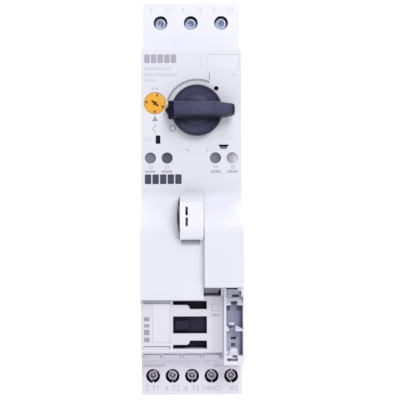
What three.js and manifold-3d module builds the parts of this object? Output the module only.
// Combined motor starter, 45 mm wide: a rotary motor protection breaker on top, a plug-in link
// in the middle and a contactor below.
// Frame: +X to the right, +Y to the rear, +Z up. The front faces -Y.
// The origin is the middle of the breaker's rail seat. Depths are measured forward from the
// breaker's rear plane, so a depth d lies at y = BACK_Y - d. All sizes are in millimetres.
import * as THREE from "three";
import { mergeVertices } from "three/addons/utils/BufferGeometryUtils.js";
import Module from "manifold-3d";

const wasm = await Module();
wasm.setup();

// Shared sizes
const WIDTH = 45;
const HALF = WIDTH / 2;
const WALL = 1.8;
const INNER = HALF - WALL;
const GAP = 0.3;
const BACK_Y = 5;
const ROUND = 16;
const PAST = 0.1;

// 35 mm rail: recess, seat land, hook and clip, measured from the rear plane of each base
const RAIL = {
  half: 17.8, floor: 5.4, seatDepth: 5, seatHalfX: 19, seatHalfZ: 13,
  hookLip: 1.6, channelHalfX: 9.4, channelDepth: 4, clipHalfX: 9, clipBack: 0.9, clipFront: 3.6,
  clipTail: 4,
};

// Breaker
const BREAKER = {
  halfHeight: 46.5, baseDepth: 24, cavityBack: 7, deckDepth: 48, noseDepth: 68, noseHalf: 22.5,
  polePitch: 14.05, terminalZ: 37.2, screwHole: 3.25, wireHalf: 4.3, wireBack: 26.8, wireFront: 35.4,
  wellFloor: 43.1,
};
const BREAKER_POLES = [-BREAKER.polePitch, 0, BREAKER.polePitch];
const KNOB = { x: 2.6, z: -5.2, radius: 11.2, recess: 11.9, back: 67.6, face: 72, shaft: 3.5 };
const GRIP = { left: 12.7, right: 7.2, base: 4, crown: 3.1, front: 77.5 };
const SLIDE = { right: 16.6, back: 69.5, front: 77.4 };
const TONGUE = { reach: 2, half: 1.5, back: 73.3, front: 75.3 };
const DIAL = { x: -16.1, z: -1.9, radius: 4.8, hole: 5.1, neck: 4.2, front: 67.7 };
const TEST_SLOT = { x: -14.8, z: -18.1, halfX: 1.05, halfZ: 1.9 };
const LABEL = { x0: 7.4, x1: 21.1, z0: 12.7, z1: 19.7, floor: 67.2 };
const FRONT_CONTACT = 7.5;
const NOSE_SLOPE = 2;

// Link between the breaker and the contactor
const LINK = {
  top: -22.8, front: 68, kneeZ: -44.5, lowerFront: 82, lowerKneeZ: -62, bottom: -88.2,
  neckBack: 20, neckTop: -46.8, neckBottom: -65.7, raisedFront: 85.5, raisedX: 5.6,
  raisedTop: -56.2, raisedBottom: -82.6, holeRadius: 2.52, holeZ: -26.3,
};
const LINK_HOLES = [-18.2, -10.75, 10.75];
const BLIND_HOLE_X = 18.2;

// Contactor
const CONTACTOR = {
  z: -99, halfHeight: 33, back: 5, baseFront: 38, cavityBack: 12, deckDepth: 67, noseDepth: 80,
  noseHalf: 12.1, noseLeft: -22.3, noseRight: 14, ledgeDepth: 74, ledgeHalf: 15.8,
  polePitch: 8.7, terminalZ: 24.5, screwHole: 3.15, wireHalf: 3, wireBack: 46, wireFront: 55,
  wellFloor: 62.2, slotLeft: 13.9, slotRight: 22.6, slotFront: 81,
};
const CONTACTOR_POLES = [-2, -1, 0, 1, 2].map((step) => step * CONTACTOR.polePitch);
const POLE_MARKS = [-21.1, -12.45, -3.8, 4.85];
const CONTACT_Z = 11;

const FINISHES = {
  housing: { color: 0xf0f0f8, roughness: 0.5, metalness: 0 },
  shade: { color: 0xe8e5f1, roughness: 0.55, metalness: 0 },
  black: { color: 0x35323f, roughness: 0.45, metalness: 0 },
  orange: { color: 0xf6b44d, roughness: 0.45, metalness: 0 },
  zinc: { color: 0x9fb0cc, roughness: 0.35, metalness: 0.9 },
  copper: { color: 0xb97a4b, roughness: 0.35, metalness: 0.9 },
  silver: { color: 0xc9c7c2, roughness: 0.3, metalness: 1 },
  steel: { color: 0x8d9096, roughness: 0.4, metalness: 0.9 },
  winding: { color: 0x9a4f2c, roughness: 0.5, metalness: 0.2 },
  paper: { color: 0xf7f7fb, roughness: 0.6, metalness: 0 },
};

// ---------------------------------------------------------------- helpers

/** Y position of a point at a depth forward of the breaker's rear plane. */
function at(depth) {
  return BACK_Y - depth;
}

/** Closed three.js geometry as a solid that can be joined and cut. */
function solid(geometry) {
  geometry.deleteAttribute("normal");
  geometry.deleteAttribute("uv");
  const merged = mergeVertices(geometry, 1e-4);
  const index = merged.index.array;
  const triangles = [];
  for (let i = 0; i < index.length; i += 3) {
    const [a, b, c] = [index[i], index[i + 1], index[i + 2]];
    if (a !== b && b !== c && c !== a) {
      triangles.push(a, b, c);
    }
  }
  return new wasm.Manifold(new wasm.Mesh({
    numProp: 3,
    vertProperties: new Float32Array(merged.attributes.position.array),
    triVerts: new Uint32Array(triangles),
  }));
}

function join(...solids) {
  return solids.reduce((whole, piece) => whole.add(piece));
}

function cut(body, ...tools) {
  return tools.reduce((rest, tool) => rest.subtract(tool), body);
}

/** Box between two X positions, two depths and two Z positions. */
function block([x0, x1], [d0, d1], [z0, z1]) {
  const box = new THREE.BoxGeometry(x1 - x0, d1 - d0, z1 - z0);
  box.translate((x0 + x1) / 2, at((d0 + d1) / 2), (z0 + z1) / 2);
  return solid(box);
}

function extrusion(points, length, basis, origin) {
  const shape = new THREE.Shape(points.map(([a, b]) => new THREE.Vector2(a, b)));
  const geometry = new THREE.ExtrudeGeometry(shape, { depth: length, bevelEnabled: false });
  const [xAxis, yAxis, zAxis] = basis.map((axis) => new THREE.Vector3(...axis));
  geometry.applyMatrix4(new THREE.Matrix4().makeBasis(xAxis, yAxis, zAxis).setPosition(...origin));
  return solid(geometry);
}

/** Front outline of (x, z) points, from depth d0 forward to depth d1. */
function plate(points, d0, d1) {
  return extrusion(points, d1 - d0, [[1, 0, 0], [0, 0, 1], [0, -1, 0]], [0, at(d0), 0]);
}

/** Side outline of (depth, z) points, from x0 to x1. */
function side(points, x0, x1) {
  return extrusion(points, x1 - x0, [[0, -1, 0], [0, 0, 1], [-1, 0, 0]], [x1, BACK_Y, 0]);
}

/** Top outline of (x, depth) points, from z0 up to z1. */
function slab(points, z0, z1) {
  return extrusion(points, z1 - z0, [[1, 0, 0], [0, -1, 0], [0, 0, -1]], [0, BACK_Y, z1]);
}

/** Round bar along Y between two depths. */
function rod(x, z, radius, d0, d1, sides = ROUND) {
  const geometry = new THREE.CylinderGeometry(radius, radius, d1 - d0, sides);
  geometry.translate(x, at((d0 + d1) / 2), z);
  return solid(geometry);
}

/** Turned piece about an axis along Y, from (radius, depth) points in order of depth. */
function turned(profile, x, z, sides = ROUND) {
  const points = profile.map(([radius, depth]) => new THREE.Vector2(radius, at(depth)));
  const closed = [new THREE.Vector2(0, points[0].y), ...points,
    new THREE.Vector2(0, points[points.length - 1].y)];
  const geometry = new THREE.LatheGeometry(closed.reverse(), sides);
  geometry.translate(x, 0, z);
  return solid(geometry);
}

/** Both mirror images of a box in the plane x = 0. */
function sidePair([x0, x1], depths, heights) {
  return join(block([x0, x1], depths, heights), block([-x1, -x0], depths, heights));
}

const group = new THREE.Group();

/** Adds a solid to the model as one named mesh. */
function part(name, body, finish) {
  const mesh = body.getMesh();
  const geometry = new THREE.BufferGeometry();
  geometry.setAttribute("position", new THREE.BufferAttribute(mesh.vertProperties, 3));
  geometry.setIndex(new THREE.BufferAttribute(mesh.triVerts, 1));
  const piece = new THREE.Mesh(geometry, new THREE.MeshStandardMaterial(FINISHES[finish]));
  piece.name = name;
  group.add(piece);
}

// ---------------------------------------------------------------- rail-mounted bases

/** Rear shell with a rail recess, a fixed hook above it and a clip channel below it. */
function railBase({ z, halfHeight, back, front, cavityBack }) {
  const span = (low, high) => [z + low, z + high];
  const deep = (near, far) => [back + near, back + far];
  const outer = block([-HALF, HALF], [back, front], span(-halfHeight, halfHeight));
  const cavity = block([-INNER, INNER], [cavityBack, front + PAST],
    span(WALL - halfHeight, halfHeight - WALL));
  const recess = block([-HALF - PAST, HALF + PAST], deep(-PAST, RAIL.floor),
    span(-RAIL.half, RAIL.half));
  const channel = block([-RAIL.channelHalfX, RAIL.channelHalfX], deep(-PAST, RAIL.channelDepth),
    span(-halfHeight - PAST, PAST - RAIL.half));
  const pocketTop = halfHeight - 2.5;
  const upperPockets = sidePair([2, 19.5], deep(-PAST, 4.4), span(RAIL.half + 2.4, pocketTop));
  const lowerPockets = sidePair([12, 19.5], deep(-PAST, 4.4), span(-pocketTop, -RAIL.half - 2.4));
  const seat = block([-RAIL.seatHalfX, RAIL.seatHalfX],
    deep(RAIL.seatDepth, RAIL.floor + PAST), span(-RAIL.seatHalfZ, RAIL.seatHalfZ));
  const hook = block([-20, 20], deep(0.8, 3.4), span(RAIL.half - RAIL.hookLip, RAIL.half + 0.2));
  const cleats = sidePair([7.9, RAIL.channelHalfX + PAST], deep(0, 0.6),
    span(2.5 - halfHeight, -RAIL.half - 4));
  const latchWindows = [-1, 1].map((sign) => join(
    block([HALF - 0.9, HALF + PAST], [front - 9, front - 5],
      span(sign * (halfHeight - 10) - 3, sign * (halfHeight - 10) + 3)),
    block([-HALF - PAST, 0.9 - HALF], [front - 9, front - 5],
      span(sign * (halfHeight - 10) - 3, sign * (halfHeight - 10) + 3)),
  ));
  const shell = cut(outer, cavity, recess, channel, upperPockets, lowerPockets, ...latchWindows);
  return join(shell, seat, hook, cleats);
}

/** Spring clip that grips the lower edge of the rail and is pulled down to release it. */
function railClip({ z, halfHeight, back }) {
  const tail = z - halfHeight - RAIL.clipTail;
  const depths = [back + RAIL.clipBack, back + RAIL.clipFront];
  const body = block([-RAIL.clipHalfX, RAIL.clipHalfX], depths, [tail, z - RAIL.half - 0.4]);
  const lip = block([-RAIL.clipHalfX, RAIL.clipHalfX], [back + 1, back + 3.4],
    [z - RAIL.half - 0.5, z - RAIL.half + RAIL.hookLip]);
  const driverSlot = block([-3, 3], [back, back + RAIL.clipFront + PAST], [tail + 1.2, tail + 2.8]);
  const relief = block([-6, 6], [back, back + 2], [tail + 6, z - RAIL.half - 4]);
  return cut(join(body, lip), driverSlot, relief);
}

// ---------------------------------------------------------------- terminals

/** Terminal screw with a crossed recess in its head. */
function terminalScrew(x, z, headRadius, headBack, headFront, shankRadius, tip) {
  const head = turned([
    [headRadius, headBack],
    [headRadius, headFront - 0.5],
    [headRadius - 0.6, headFront],
  ], x, z);
  const shank = rod(x, z, shankRadius, tip, headBack + PAST, 12);
  const reach = headRadius * 0.68;
  const across = block([x - reach, x + reach], [headFront - 1.1, headFront + PAST],
    [z - 0.45, z + 0.45]);
  const down = block([x - 0.45, x + 0.45], [headFront - 1.1, headFront + PAST],
    [z - reach, z + reach]);
  return cut(join(head, shank), across, down);
}

/** Box clamp: a cage open along Z for the wire, with a screw hole in its front wall. */
function cage(x, z, halfX, halfZ, back, front, wall, holeRadius) {
  const outer = block([x - halfX, x + halfX], [back, front], [z - halfZ, z + halfZ]);
  const window = block([x - halfX + wall, x + halfX - wall], [back + 1.4, front - 2.6],
    [z - halfZ - PAST, z + halfZ + PAST]);
  return cut(outer, window, rod(x, z, holeRadius, front - 3, front + PAST, 12));
}

// ---------------------------------------------------------------- breaker

function breakerCover() {
  const { halfHeight, deckDepth, noseDepth, noseHalf, baseDepth } = BREAKER;
  const slope = NOSE_SLOPE;
  const profile = [
    [baseDepth + GAP, -halfHeight],
    [deckDepth, -halfHeight],
    [deckDepth, -noseHalf - slope],
    [deckDepth + slope, -noseHalf],
    [noseDepth, -noseHalf],
    [noseDepth, noseHalf],
    [deckDepth + slope, noseHalf],
    [deckDepth, noseHalf + slope],
    [deckDepth, halfHeight],
    [baseDepth + GAP, halfHeight],
  ];
  const deckCavity = block([-INNER, INNER], [baseDepth, deckDepth - WALL],
    [WALL - halfHeight, halfHeight - WALL]);
  const noseCavity = block([-INNER, INNER], [deckDepth - WALL - PAST, noseDepth - 2],
    [WALL - noseHalf, noseHalf - WALL]);
  let cover = cut(side(profile, -HALF, HALF), deckCavity, noseCavity);

  const tongue = plate([[-2.1, -noseHalf + PAST], [-0.2, -noseHalf - 1.5], [5.5, -noseHalf - 1.5],
    [7.4, -noseHalf + PAST]], noseDepth - WALL, noseDepth);
  const bushing = rod(KNOB.x, KNOB.z, KNOB.shaft + 2.2, 60, noseDepth - 1.9);
  const partitions = [-1, 1].map((sign) => {
    const x = (sign * BREAKER.polePitch) / 2;
    return block([x - 0.6, x + 0.6], [baseDepth + 0.6, deckDepth - WALL + PAST],
      [22, halfHeight - WALL + PAST]);
  });
  cover = join(cover, tongue, bushing, ...partitions);

  for (const x of BREAKER_POLES) {
    for (const z of [-BREAKER.terminalZ, BREAKER.terminalZ]) {
      cover = join(cover, rod(x, z, BREAKER.screwHole + 1, 41, deckDepth - 1, 12));
      cover = cut(cover, rod(x, z, BREAKER.screwHole, BREAKER.wellFloor, deckDepth + PAST),
        rod(x, z, 2.3, 40.5, deckDepth, 12));
    }
    const entry = block([x - BREAKER.wireHalf, x + BREAKER.wireHalf],
      [BREAKER.wireBack, BREAKER.wireFront], [-halfHeight - PAST, halfHeight + PAST]);
    const inside = block([-HALF, HALF], [20, 40], [4 - halfHeight, halfHeight - 4]);
    cover = cut(cover, entry.subtract(inside));
    const funnel = block([x - 5.2, x + 5.2], [25.9, 36.3], [halfHeight - 0.7, halfHeight + PAST]);
    cover = cut(cover, funnel);
  }

  const knobRecess = rod(KNOB.x, KNOB.z, KNOB.recess, LABEL.floor, noseDepth + PAST, 32);
  const knobHole = rod(KNOB.x, KNOB.z, KNOB.shaft + 0.4, 59, noseDepth + PAST);
  const dialHole = rod(DIAL.x, DIAL.z, DIAL.hole, noseDepth - 2.05, noseDepth + PAST, 24);
  const testSlot = block([TEST_SLOT.x - TEST_SLOT.halfX, TEST_SLOT.x + TEST_SLOT.halfX],
    [noseDepth - 2.5, noseDepth + PAST],
    [TEST_SLOT.z - TEST_SLOT.halfZ, TEST_SLOT.z + TEST_SLOT.halfZ]);
  const sealHole = rod(11.2, 4.65, 1.05, noseDepth - 2.5, noseDepth + PAST, 12);
  const hookNotch = plate([[12, -20.4], [16.8, -20.4], [15.7, -22.4], [13.1, -22.4]],
    noseDepth - 1.5, noseDepth + PAST);
  const labelPocket = block([LABEL.x0, LABEL.x1], [LABEL.floor, noseDepth + PAST],
    [LABEL.z0, LABEL.z1]);
  cover = cut(cover, knobRecess, knobHole, dialHole, testSlot, sealHole, hookNotch, labelPocket);

  for (const z of [-12, -6, 0, 6, 12]) {
    cover = cut(cover, block([-HALF - PAST, PAST - INNER], [53, 61], [z - 0.6, z + 0.6]));
    cover = cut(cover, block([INNER - PAST, HALF + PAST], [53, 61], [z - 0.6, z + 0.6]));
  }
  return cover;
}

/** Supply-side clamp with the strap that carries current to its trip coil. */
function lineClamp(x) {
  const clamp = cage(x, BREAKER.terminalZ, 4.6, 5.5, 25.6, 37.2, 1.1, 2.3);
  const strap = block([x - 2, x + 2], [22.4, 23.4], [19, 33.2]);
  const riser = block([x - 2, x + 2], [22.4, 25.8], [32.2, 33.2]);
  return join(clamp, strap, riser);
}

/** Magnetic trip coil with the fixed contact tongue below it. */
function tripCoil(x) {
  const bobbin = turned([[5, 9], [5, 10.2], [4.2, 10.2], [4.2, 20.8], [5, 20.8], [5, 22]], x, 20);
  const tongue = block([x - 2, x + 2], [14.4, 15.4], [5.5, 17]);
  const tip = block([x - 2, x + 2], [15.3, 15.9], [FRONT_CONTACT - 1.3, FRONT_CONTACT + 1.2]);
  return join(bobbin, tongue, tip);
}

/** Heated bimetal strip of the overload release, with its contact and its output tongue. */
function bimetal(x) {
  const strip = block([x - 2.5, x + 2.5], [14, 15], [-37.2, -5.5]);
  const heaters = [-33, -28, -23].map((z) => (
    block([x - 3.1, x + 3.1], [13.2, 15.8], [z - 1.5, z + 1.5])));
  const tip = block([x - 2, x + 2], [14.9, 15.9], [-FRONT_CONTACT - 1.2, 1.3 - FRONT_CONTACT]);
  const foot = block([x - 2.5, x + 2.5], [14, 30.1], [-37.2, -36]);
  const output = block([x - 2.5, x + 2.5], [28.9, 30.1], [-42.5, -36]);
  return join(strip, ...heaters, tip, foot, output);
}

/** Moving contact that bridges the two fixed contacts of one pole. */
function bridge(x, z, reach, halfX, back, tipAt) {
  const tips = [-1, 1].map((sign) => (
    block([x - halfX, x + halfX], [back - 1, back + PAST],
      [z + sign * tipAt - 1.2, z + sign * tipAt + 1.2])));
  return join(block([x - halfX, x + halfX], [back, back + 1], [z - reach, z + reach]), ...tips);
}

function breakerCarrier() {
  let carrier = block([-19.5, 19.5], [21.4, 30], [-2.5, 2.5]);
  for (const x of BREAKER_POLES) {
    carrier = join(carrier,
      block([x - 3.6, x - 2.6], [18.5, 21.5], [-2.5, 2.5]),
      block([x + 2.6, x + 3.6], [18.5, 21.5], [-2.5, 2.5]));
  }
  return carrier;
}

/** Shaft of the knob, with the cam drum and its two lobes at the rear end. */
function knobShaft() {
  const shaft = rod(KNOB.x, KNOB.z, KNOB.shaft, 41.7, KNOB.back - GAP);
  const drum = rod(KNOB.x, KNOB.z, 8, 33.5, 41.8, 20);
  const lobes = [-1, 1].map((sign) => (
    block([KNOB.x + sign * 5.2 - 1.6, KNOB.x + sign * 5.2 + 1.6], [31, 33.6],
      [KNOB.z - 2.5, KNOB.z + 2.5])));
  return join(shaft, drum, ...lobes);
}

/** Bar that the bimetals push when they bend, with one finger beside each of them. */
function tripBar() {
  const bar = block([-19.8, 18.9], [17, 19.5], [-19.5, -17]);
  const fingers = BREAKER_POLES.map((x) => (
    block([x + 3.6, x + 4.6], [12.5, 17.1], [-19.5, -17])));
  return join(bar, ...fingers);
}

/** Slider behind the test slot, joined to the trip bar by its arm. */
function testSlider() {
  return join(
    block([-17.3, -12.2], [62.5, 65.6], [-20.3, -15.9]),
    block([-15.8, -14.2], [19.9, 62.6], [-19.3, -17.3]));
}

/** Cross-section of the grip and its slide: upright flanks that lean in towards the front. */
function gripSection(back) {
  return [
    [back, KNOB.z - GRIP.base],
    [KNOB.face, KNOB.z - GRIP.base],
    [GRIP.front, KNOB.z - GRIP.crown],
    [GRIP.front, KNOB.z + GRIP.crown],
    [KNOB.face, KNOB.z + GRIP.base],
    [back, KNOB.z + GRIP.base],
  ];
}

/** Knob with a tapered grip bar, a pointer on its left and a channel for the padlock slide. */
function rotaryKnob() {
  const disc = turned([
    [KNOB.radius, KNOB.back],
    [KNOB.radius, KNOB.face - 1],
    [KNOB.radius - 1, KNOB.face],
  ], KNOB.x, KNOB.z, 36);
  const gripBack = KNOB.back + 2;
  const flanks = side(gripSection(gripBack), KNOB.x - GRIP.left, KNOB.x + GRIP.right);
  const ends = slab([
    [KNOB.x - GRIP.left, gripBack],
    [KNOB.x - GRIP.left, KNOB.face - 0.6],
    [KNOB.x - GRIP.left + 2.6, GRIP.front],
    [KNOB.x + GRIP.right, GRIP.front],
    [KNOB.x + GRIP.right, gripBack],
  ], KNOB.z - GRIP.base - PAST, KNOB.z + GRIP.base + PAST);
  const grip = flanks.intersect(ends);
  const pointer = plate([
    [KNOB.x - 12.4, KNOB.z - 1.6],
    [KNOB.x - 14.1, KNOB.z - 0.3],
    [KNOB.x - 14.1, KNOB.z + 0.3],
    [KNOB.x - 12.4, KNOB.z + 1.6],
  ], KNOB.back + 2, KNOB.face - 1);
  const channel = block([KNOB.x - TONGUE.reach - GAP, KNOB.x + GRIP.right + PAST],
    [TONGUE.back - GAP, TONGUE.front + GAP],
    [KNOB.z - TONGUE.half - GAP, KNOB.z + TONGUE.half + GAP]);
  const seat = block([KNOB.x + GRIP.right, KNOB.x + KNOB.radius + GAP],
    [SLIDE.back - GAP, KNOB.face + PAST], [KNOB.z - GRIP.base - GAP, KNOB.z + GRIP.base + GAP]);
  return cut(join(disc, grip, pointer), channel, seat);
}

/** Slide that is pulled out of the knob's grip to take a padlock. */
function padlockSlide() {
  const start = KNOB.x + GRIP.right + GAP;
  const end = KNOB.x + SLIDE.right;
  const outline = plate([
    [start, KNOB.z - 3.9],
    [end - 0.8, KNOB.z - 2.7],
    [end, KNOB.z - 2.2],
    [end, KNOB.z + 2.2],
    [end - 0.8, KNOB.z + 2.7],
    [start, KNOB.z + 3.9],
  ], SLIDE.back, GRIP.front);
  const wedge = slab([
    [start, SLIDE.back],
    [start, SLIDE.front],
    [end - 1, SLIDE.front - 0.8],
    [end, SLIDE.front - 2],
    [end, SLIDE.back + 2],
    [end - 3, SLIDE.back],
  ], KNOB.z - GRIP.base, KNOB.z + GRIP.base);
  const flanks = side(gripSection(SLIDE.back), start, end);
  const tongue = block([KNOB.x - TONGUE.reach, start + PAST], [TONGUE.back, TONGUE.front],
    [KNOB.z - TONGUE.half, KNOB.z + TONGUE.half]);
  return join(outline.intersect(wedge).intersect(flanks), tongue);
}

/** Current setting dial with a screwdriver slot across its face. */
function settingDial() {
  const body = turned([
    [DIAL.neck, 58],
    [DIAL.neck, 66.3],
    [DIAL.radius, 66.3],
    [DIAL.radius, DIAL.front - 0.3],
    [DIAL.radius - 0.3, DIAL.front],
  ], DIAL.x, DIAL.z, 24);
  const [along, across] = [2.2, 0.5];
  const lean = Math.SQRT1_2;
  const corner = (u, v) => [DIAL.x + (u + v) * lean, DIAL.z + (v - u) * lean];
  const slot = plate([corner(-along, -across), corner(along, -across), corner(along, across),
    corner(-along, across)], DIAL.front - 0.9, DIAL.front + PAST);
  return cut(body, slot);
}

function addBreaker() {
  const frame = {
    z: 0, halfHeight: BREAKER.halfHeight, back: 0, front: BREAKER.baseDepth,
    cavityBack: BREAKER.cavityBack,
  };
  part("breaker_base", railBase(frame), "housing");
  part("rail_clip", railClip(frame), "black");
  part("breaker_cover", breakerCover(), "housing");
  part("marking_label", block([LABEL.x0 + GAP, LABEL.x1 - GAP], [LABEL.floor + GAP, 68],
    [LABEL.z0 + GAP, LABEL.z1 - GAP]), "paper");
  BREAKER_POLES.forEach((x, i) => {
    const z = BREAKER.terminalZ;
    part(`line_screw_${i + 1}`, terminalScrew(x, z, 2.85, 43.4, 46, 1.95, 33), "zinc");
    part(`line_clamp_${i + 1}`, lineClamp(x), "zinc");
    part(`load_screw_${i + 1}`, terminalScrew(x, -z, 2.85, 43.4, 46, 1.95, 32.3), "zinc");
    part(`trip_coil_${i + 1}`, tripCoil(x), "winding");
    part(`bimetal_${i + 1}`, bimetal(x), "copper");
    part(`breaker_bridge_${i + 1}`, bridge(x, 0, 9, 2.2, 20, FRONT_CONTACT), "silver");
  });
  part("breaker_carrier", breakerCarrier(), "black");
  part("knob_shaft", knobShaft(), "black");
  part("rotary_knob", rotaryKnob(), "black");
  part("padlock_slide", padlockSlide(), "black");
  part("setting_dial", settingDial(), "orange");
  part("trip_bar", tripBar(), "black");
  part("test_slider", testSlider(), "black");
}

// ---------------------------------------------------------------- link

function linkCover() {
  const L = LINK;
  const nose = CONTACTOR.noseDepth + GAP;
  const ledge = CONTACTOR.ledgeDepth + GAP;
  const deck = CONTACTOR.deckDepth + GAP;
  const noseTop = CONTACTOR.z + CONTACTOR.noseHalf + GAP;
  const ledgeTop = CONTACTOR.z + CONTACTOR.ledgeHalf + GAP;
  const outer = side([
    [BREAKER.deckDepth + GAP, L.top - NOSE_SLOPE],
    [BREAKER.deckDepth + GAP + NOSE_SLOPE, L.top],
    [L.front, L.top],
    [L.front, L.kneeZ],
    [L.lowerFront, L.lowerKneeZ],
    [L.lowerFront, L.bottom],
    [nose, L.bottom],
    [nose, noseTop],
    [ledge, noseTop],
    [ledge, ledgeTop],
    [deck, ledgeTop],
    [deck, L.neckBottom],
    [L.neckBack, L.neckBottom],
    [L.neckBack, L.neckTop],
    [BREAKER.deckDepth + GAP, L.neckTop],
  ], -HALF, HALF);
  const raised = side([
    [deck, L.kneeZ],
    [L.front, L.kneeZ],
    [L.raisedFront, L.raisedTop],
    [L.raisedFront, L.raisedBottom],
    [deck, L.raisedBottom],
  ], L.raisedX, HALF);
  const lowerRight = block([L.raisedX - 0.5, HALF + PAST], [deck - PAST, 90],
    [L.bottom - 1, L.raisedBottom]);

  const cavityTop = [
    [BREAKER.deckDepth, L.neckTop + PAST],
    [L.neckBack - PAST, L.neckTop + PAST],
    [L.neckBack - PAST, L.neckBottom - PAST],
    [deck - PAST, L.neckBottom - PAST],
  ];
  const cavityFront = [
    [L.lowerFront - WALL, L.lowerKneeZ - 0.6],
    [L.front - WALL, L.kneeZ - 0.6],
    [L.front - WALL, L.top - WALL],
    [BREAKER.deckDepth, L.top - WALL],
  ];
  const leftCavity = side([
    ...cavityTop,
    [deck - PAST, ledgeTop + WALL],
    [ledge + WALL, ledgeTop + WALL],
    [ledge + WALL, noseTop + WALL],
    [L.lowerFront - WALL, noseTop + WALL],
    ...cavityFront,
  ], -INNER, L.raisedX - WALL);
  const rightCavity = side([
    ...cavityTop,
    [deck - PAST, L.raisedBottom + WALL],
    [L.lowerFront - WALL, L.raisedBottom + WALL],
    ...cavityFront,
  ], L.raisedX - WALL - PAST, INNER);
  const raisedCavity = side([
    [L.front - WALL - 1, L.kneeZ - 0.7],
    [L.front - WALL, L.kneeZ - 0.7],
    [L.raisedFront - WALL, L.raisedTop - 0.9],
    [L.raisedFront - WALL, L.raisedBottom + WALL],
    [deck + 1, L.raisedBottom + WALL],
  ], L.raisedX + WALL, INNER);
  const blindTube = rod(BLIND_HOLE_X, L.holeZ, L.holeRadius + 0.9, 62.5, L.front - 1)
    .intersect(block([0, INNER + PAST], [60, L.front], [L.top - 10, L.top - PAST]));
  let cover = cut(cut(join(outer, raised), lowerRight), leftCavity, rightCavity, raisedCavity);
  cover = join(cover, blindTube);
  cover = cut(cover, rod(BLIND_HOLE_X, L.holeZ, L.holeRadius, 64, L.front + PAST));
  for (const x of LINK_HOLES) {
    cover = cut(cover, rod(x, L.holeZ, L.holeRadius, 60, L.front + PAST));
  }

  const window = plate(windowOutline(), 62, 90)
    .subtract(block([L.raisedX, HALF], [60, 92], [-70, -40]));
  const tray = side([[79.2, -61.4], [84, -61.4], [84, -66.6], [82, -64.8]], -4.6, 3.6);
  const tongueNotch = plate([[-3.6, L.top + 1], [-0.6, L.top - 1.6], [5.9, L.top - 1.6],
    [8.9, L.top + 1]], BREAKER.noseDepth - WALL - GAP, L.front + PAST);
  return cut(cover, window, tray, tongueNotch);
}

/** Opening behind the release tab, bowed out on its left. */
function windowOutline() {
  const bow = { x: 22.9, z: -51.5, radius: 29.3 };
  const points = [];
  for (let step = -3; step <= 3; step += 1) {
    const z = bow.z - step * 3.15;
    points.push([bow.x - Math.sqrt(bow.radius ** 2 - (z - bow.z) ** 2), z]);
  }
  return [...points, [LINK.raisedX, bow.z - 9.6], [LINK.raisedX, bow.z + 9.6]];
}

/** One link conductor: breaker pin, cross strap and contactor pin, enlarged by a margin. */
function conductor(i, margin) {
  const top = BREAKER_POLES[i];
  const bottom = CONTACTOR_POLES[i];
  const half = 2.2 + margin;
  const upper = block([top - half, top + half], [30.4 - margin, 32 + margin],
    [-57.2 - margin, -33.5]);
  const strapHalf = 2.2 + 1.6 * margin;
  const strap = slab([
    [top - strapHalf, 30.4 - margin],
    [top + strapHalf, 30.4 - margin],
    [bottom + strapHalf, 52 + margin],
    [bottom - strapHalf, 52 + margin],
  ], -57.2 - margin, -55.6 + margin);
  const lower = block([bottom - half, bottom + half], [50.4 - margin, 52 + margin],
    [-79, -55.6 + margin]);
  return join(upper, strap, lower);
}

function linkBase() {
  const body = block([-INNER + GAP, INNER - GAP], [22, 58], [-65.4, -47.1]);
  const pockets = [4, 10.5, 17].map((x) => (
    block([x - 2.4, x + 2.4], [54, 58 + PAST], [-63, -49.5])));
  return cut(body, ...BREAKER_POLES.map((_, i) => conductor(i, GAP)), ...pockets);
}

/** Sliding tab that unlocks the link: a hooked front plate on a stem with a guide foot. */
function releaseSlide() {
  const hood = side([
    [70.5, -42.3],
    [76, -41.7],
    [86, -46],
    [86, -60],
    [85, -61.6],
    [83.5, -62.2],
    [83.5, -60.4],
    [84, -59.4],
    [84, -47.3],
    [75.7, -43.8],
    [70.5, -44.3],
  ], -5, 5);
  const stem = block([-0.6, 3.4], [59.9, 84.1], [-56, -48]);
  const foot = block([-6, 5], [58.4, 60], [-58, -47]);
  const slots = [-49.75, -54.35].map((z) => (
    block([-2.6, -1.6], [83.9, 86 + PAST], [z - 1.85, z + 1.85])));
  return cut(join(hood, stem, foot), ...slots);
}

function addLink() {
  part("link_cover", linkCover(), "housing");
  part("link_base", linkBase(), "housing");
  BREAKER_POLES.forEach((_, i) => {
    part(`link_conductor_${i + 1}`, conductor(i, 0), "copper");
  });
  part("release_slide", releaseSlide(), "housing");
}

// ---------------------------------------------------------------- contactor

/** Windows in the contactor's front for the contact indicator and for a front accessory's hooks. */
function frontWindows() {
  const { noseDepth } = CONTACTOR;
  const z = CONTACTOR.z - 0.22;
  const [left, middle, right] = [-8.2, -0.85, 6.5];
  const depths = [noseDepth - 2, noseDepth + PAST];
  const indicator = block([left, right], depths, [z - 3.75, z + 3.75]);
  const hooks = [-1, 1].map((sign) => plate([
    [left, z + sign * 10.4],
    [right, z + sign * 10.4],
    [right, z + sign * 6.76],
    [middle, z + sign * 6.76],
    [middle - 0.3, z + sign * 7.9],
    [middle - 1.2, z + sign * 8.6],
    [left, z + sign * 8.6],
  ], ...depths));
  return [indicator, ...hooks];
}

/** Pockets in the ledges above and below the front, open at the ledges' outer faces. */
function ledgePockets() {
  const { z, ledgeDepth } = CONTACTOR;
  const pockets = [];
  for (const left of POLE_MARKS) {
    for (const heights of [[z - 16, z - 13.6], [z + 12.4, z + 16]]) {
      pockets.push(block([left, left + 7.7], [ledgeDepth - 1.4, ledgeDepth + PAST], heights));
    }
  }
  return pockets;
}

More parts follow.
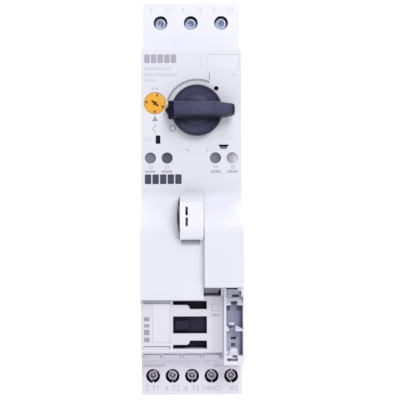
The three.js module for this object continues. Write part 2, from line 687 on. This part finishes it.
/** Pockets of the suppressor slot on the right, joined by narrow necks. */
function suppressorPockets() {
  const front = CONTACTOR.slotFront + PAST;
  const [left, right] = [CONTACTOR.slotLeft + 1, 22.1];
  return [
    plate([[left, -83], [19.9, -83], [19.9, -84.5], [21.4, -84.5], [21.4, -87], [right, -87],
      [right, -89.9], [19.7, -89.9], [19.7, -90.7], [16.9, -90.7], [16.9, -89.9], [left, -89.9]],
    78, front),
    block([16.9, 19.7], [77, front], [-92, -89]),
    block([left, right], [75.5, front], [-101.15, -90.6]),
    block([16.1, 18.9], [76.5, front], [-103, -100.4]),
    block([left, right], [75.5, front], [-112.6, -101.8]),
    block([17.5, 19.7], [76.5, front], [-113.6, -112.5]),
    block([15.2, 19.8], [78.5, front], [-114.9, -113.5]),
  ];
}

/** Space inside the nose, from a depth behind its foot up to its front wall. */
function noseCavity(back) {
  return block([CONTACTOR.noseLeft + WALL, 12], [back, CONTACTOR.noseDepth - WALL],
    [CONTACTOR.z - 10.7, CONTACTOR.z + 10.7]);
}

/** Outline of a narrow arched band about a centre, open by an angle to each side of straight up. */
function arcBand(x, z, radius, width, halfAngle) {
  const points = [];
  for (const [reach, sign] of [[radius, 1], [radius - width, -1]]) {
    for (let step = -4; step <= 4; step += 1) {
      const angle = THREE.MathUtils.degToRad(90 + (sign * step * halfAngle) / 4);
      points.push([x + reach * Math.cos(angle), z + reach * Math.sin(angle)]);
    }
  }
  return points;
}

/** Terminal housing: wire entries, screw wells and the partitions between the poles. */
function contactorHousing() {
  const C = CONTACTOR;
  const deck = block([-HALF, HALF], [C.baseFront + GAP, C.deckDepth],
    [C.z - C.halfHeight, C.z + C.halfHeight]);
  const cavity = block([-INNER, INNER], [C.baseFront, C.deckDepth - WALL],
    [C.z - C.halfHeight + WALL, C.z + C.halfHeight - WALL]);
  let housing = cut(deck, cavity, noseCavity(C.deckDepth - WALL - PAST));

  for (const x of [-1.5, -0.5, 0.5, 1.5].map((step) => step * C.polePitch)) {
    for (const sign of [-1, 1]) {
      const heights = [C.z + sign * 10.7, C.z + sign * (C.halfHeight - 1)].sort((a, b) => a - b);
      const partition = block([x - 0.45, x + 0.45], [C.baseFront + 6, C.deckDepth - 1], heights);
      housing = join(housing, partition);
    }
  }
  for (const x of CONTACTOR_POLES) {
    const z = C.z - C.terminalZ;
    housing = join(housing, rod(x, z, C.screwHole + 0.8, 59.8, C.deckDepth - 1, 12));
    housing = cut(housing, rod(x, z, C.screwHole, C.wellFloor, C.deckDepth + PAST),
      rod(x, z, 1.8, 59, C.deckDepth, 12));
    housing = join(housing, block([x - 0.25, x + 0.25], [65.3, C.deckDepth],
      [z - C.screwHole - 0.2, z - C.screwHole + 0.7]));
    housing = cut(housing, rod(x, C.z + C.terminalZ, C.screwHole, 64, C.deckDepth + PAST));
    const entry = block([x - C.wireHalf, x + C.wireHalf], [C.wireBack, C.wireFront],
      [C.z - C.halfHeight - PAST, C.z + C.halfHeight + PAST]);
    housing = cut(housing, entry.subtract(block([-HALF, HALF], [40, 60],
      [C.z - C.halfHeight + WALL, C.z + C.halfHeight - WALL])));
  }

  const grooves = CONTACTOR_POLES.slice(0, 4).map((x) => plate(arcBand(x, C.z - 21.7, 4.56, 0.3, 38),
    C.deckDepth - 0.3, C.deckDepth + PAST));
  return cut(housing, ...grooves);
}

/** Front cap: nose with its windows, the ledges above and below it, and the suppressor slot. */
function contactorFront() {
  const C = CONTACTOR;
  const back = C.deckDepth + GAP;
  const ledges = block([C.noseLeft, C.slotLeft + PAST], [back, C.ledgeDepth],
    [C.z - C.ledgeHalf, C.z + C.ledgeHalf]);
  const nose = block([C.noseLeft, C.noseRight], [back, C.noseDepth],
    [C.z - C.noseHalf, C.z + C.noseHalf]);
  const slotBlock = block([C.slotLeft, C.slotRight], [back, C.slotFront], [-116.6, -83.2]);
  const grooves = [[-10.7, -9.4], [8.9, 10.6]].map(([low, high]) => (
    block([-21.05, -9.4], [C.noseDepth - 1, C.noseDepth + PAST], [C.z + low, C.z + high])));
  const platePocket = block([-17.2, -9.35], [C.noseDepth - 0.9, C.noseDepth + PAST],
    [C.z - 7.65, C.z + 9]);
  const ramp = plate([[16.2, -112.7], [20.2, -112.7], [19.6, -109.7], [16.8, -109.7]], 75.4, 78.5);
  const cap = cut(join(ledges, nose, slotBlock), noseCavity(back - PAST), ...frontWindows(),
    ...ledgePockets(), ...suppressorPockets(), ...grooves, platePocket);
  return join(cap, ramp);
}

/** Contactor clamp with the tongue that ends in its fixed contact. */
function contactorClamp(x) {
  const z = CONTACTOR.z - CONTACTOR.terminalZ;
  const clamp = cage(x, z, 3, 5, 44.6, 56.6, 0.7, 1.9);
  const tongue = block([x - 2, x + 2], [44.6, 45.5], [z + 4.9, CONTACTOR.z - CONTACT_Z + 1.5]);
  const tip = block([x - 2, x + 2], [45.4, 46],
    [CONTACTOR.z - CONTACT_Z - 1.2, CONTACTOR.z - CONTACT_Z + 1.2]);
  return join(clamp, tongue, tip);
}

/** E-shaped iron: a yoke between two depths and three legs from the yoke to another depth. */
function ironE(yoke, legs) {
  const heights = [CONTACTOR.z - 8, CONTACTOR.z + 8];
  return join(
    block([-16, 16], yoke, heights),
    block([-16, -11], legs, heights),
    block([-4, 4], legs, heights),
    block([11, 16], legs, heights));
}

function coil() {
  const z = CONTACTOR.z;
  const winding = block([-9, 9], [19.5, 26.9], [z - 12.6, z + 12.6]);
  const flanges = [[18.4, 19.6], [26.8, 28]].map((depths) => (
    block([-9.8, 9.8], depths, [z - 14, z + 14])));
  const bore = block([-4.4, 4.4], [18, 28.5], [z - 8.4, z + 8.4]);
  return cut(join(winding, ...flanges), bore);
}

/** Black carrier that joins the armature to the moving contacts and the front indicator. */
function contactCarrier() {
  const z = CONTACTOR.z;
  const plateBehind = block([-8, 8], [41.4, 43.4], [z - 15, z + 15]);
  let bar = block([-20.4, 12], [41.4, 57], [z - 3.2, z + 3.2]);
  for (const x of CONTACTOR_POLES.slice(0, 4)) {
    bar = cut(bar, block([x - 2.5, x + 2.5], [49.8, 54.5], [z - 4, z + 4]));
  }
  const column = block([-8, 6], [56.9, 77.4], [z - 3.3, z + 3.3]);
  const shield = block([-9, 7], [73.5, 75], [z - 10.4, z + 10.4]);
  const indicator = block([-7, -1.4], [77.3, 79.2], [z - 2.2, z + 1.5]);
  return join(plateBehind, bar, column, shield, indicator);
}

/** Return spring: a helix of wire along Y. */
class Helix extends THREE.Curve {
  constructor(z, radius, back, front, turns) {
    super();
    Object.assign(this, { z, radius, back, front, turns });
  }

  getPoint(t, target = new THREE.Vector3()) {
    const angle = t * this.turns * 2 * Math.PI;
    return target.set(this.radius * Math.cos(angle), at(this.back + t * (this.front - this.back)),
      this.z + this.radius * Math.sin(angle));
  }
}

function returnSpring(z) {
  const wire = 0.35;
  const turns = 4;
  const path = new Helix(z, 2.6, 28.3 + wire, 41.1 - wire, turns);
  const section = new THREE.Shape();
  section.absarc(0, 0, wire, 0, 2 * Math.PI, false);
  return solid(new THREE.ExtrudeGeometry(section, {
    steps: turns * 8, extrudePath: path, curveSegments: 3, bevelEnabled: false,
  }));
}

function addContactor() {
  const C = CONTACTOR;
  const frame = {
    z: C.z, halfHeight: C.halfHeight, back: C.back, front: C.baseFront, cavityBack: C.cavityBack,
  };
  part("contactor_base", railBase(frame), "shade");
  part("contactor_clip", railClip(frame), "black");
  part("contactor_housing", contactorHousing(), "shade");
  part("contactor_front", contactorFront(), "shade");
  part("nameplate", block([-16.9, -9.65], [79.4, 79.9], [C.z - 7.35, C.z + 8.6]), "paper");
  CONTACTOR_POLES.forEach((x, i) => {
    part(`contactor_screw_${i + 1}`,
      terminalScrew(x, C.z - C.terminalZ, 2.65, 62.5, 65, 1.5, 53.2), "zinc");
    part(`contactor_clamp_${i + 1}`, contactorClamp(x), "zinc");
  });
  part("magnet_core", ironE([13, 18], [17.9, 28.6]), "steel");
  part("coil", coil(), "winding");
  part("armature", ironE([37, 41], [33, 37.1]), "steel");
  part("contact_carrier", contactCarrier(), "black");
  CONTACTOR_POLES.slice(0, 4).forEach((x, i) => {
    part(`contact_bridge_${i + 1}`, bridge(x, C.z, 12.5, 2.2, 51.2, CONTACT_Z), "silver");
  });
  [C.z + 11.5, C.z - 11.5].forEach((z, i) => {
    part(`return_spring_${i + 1}`, returnSpring(z), "steel");
  });
}

addBreaker();
addLink();
addContactor();

export default group;
